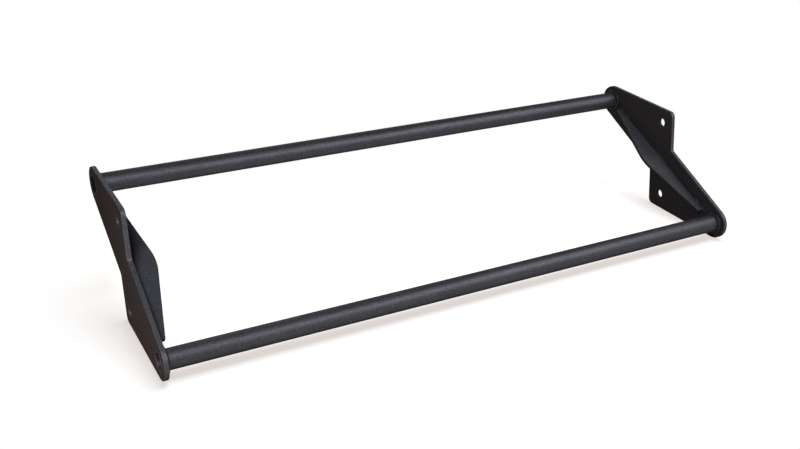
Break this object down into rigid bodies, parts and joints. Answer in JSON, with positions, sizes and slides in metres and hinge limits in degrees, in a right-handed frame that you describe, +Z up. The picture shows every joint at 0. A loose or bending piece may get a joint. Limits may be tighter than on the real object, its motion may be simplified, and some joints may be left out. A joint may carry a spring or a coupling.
{
  "type": "double pull-up bar",
  "caption": "Welded steel double pull-up bar: a high rear tube and a low front tube between stepped end plates with bolt holes and gussets, in dark textured powder coat.",
  "frame": {"origin": "on the floor that the end plates' lower edges stand on, at the middle of the object's box", "axes": "+X along the bars from the left plate to the right plate, +Y from the low front bar to the high rear bar, +Z up"},
  "size_m": [1.125, 0.396, 0.2074],
  "materials": {
    "bar_coat": "matt graphite powder coat with a fine grain",
    "plate_coat": "matt graphite powder coat with a fine grain",
    "weld_coat": "matt graphite powder coat over weld beads"
  },
  "bodies": {
    "root": {"rear_bar": "bar_coat", "front_bar": "bar_coat", "left_end_plate": "plate_coat", "right_end_plate": "plate_coat", "left_gusset": "plate_coat", "right_gusset": "plate_coat", "left_rear_bar_weld": "weld_coat", "left_front_bar_weld": "weld_coat", "right_rear_bar_weld": "weld_coat", "right_front_bar_weld": "weld_coat", "left_gusset_upper_weld_rear": "weld_coat", "left_gusset_upper_weld_middle": "weld_coat", "left_gusset_upper_weld_front": "weld_coat", "left_gusset_under_weld_rear": "weld_coat", "left_gusset_under_weld_middle": "weld_coat", "left_gusset_under_weld_front": "weld_coat", "right_gusset_upper_weld_rear": "weld_coat", "right_gusset_upper_weld_middle": "weld_coat", "right_gusset_upper_weld_front": "weld_coat", "right_gusset_under_weld_rear": "weld_coat", "right_gusset_under_weld_middle": "weld_coat", "right_gusset_under_weld_front": "weld_coat"}
  },
  "joints": []
}
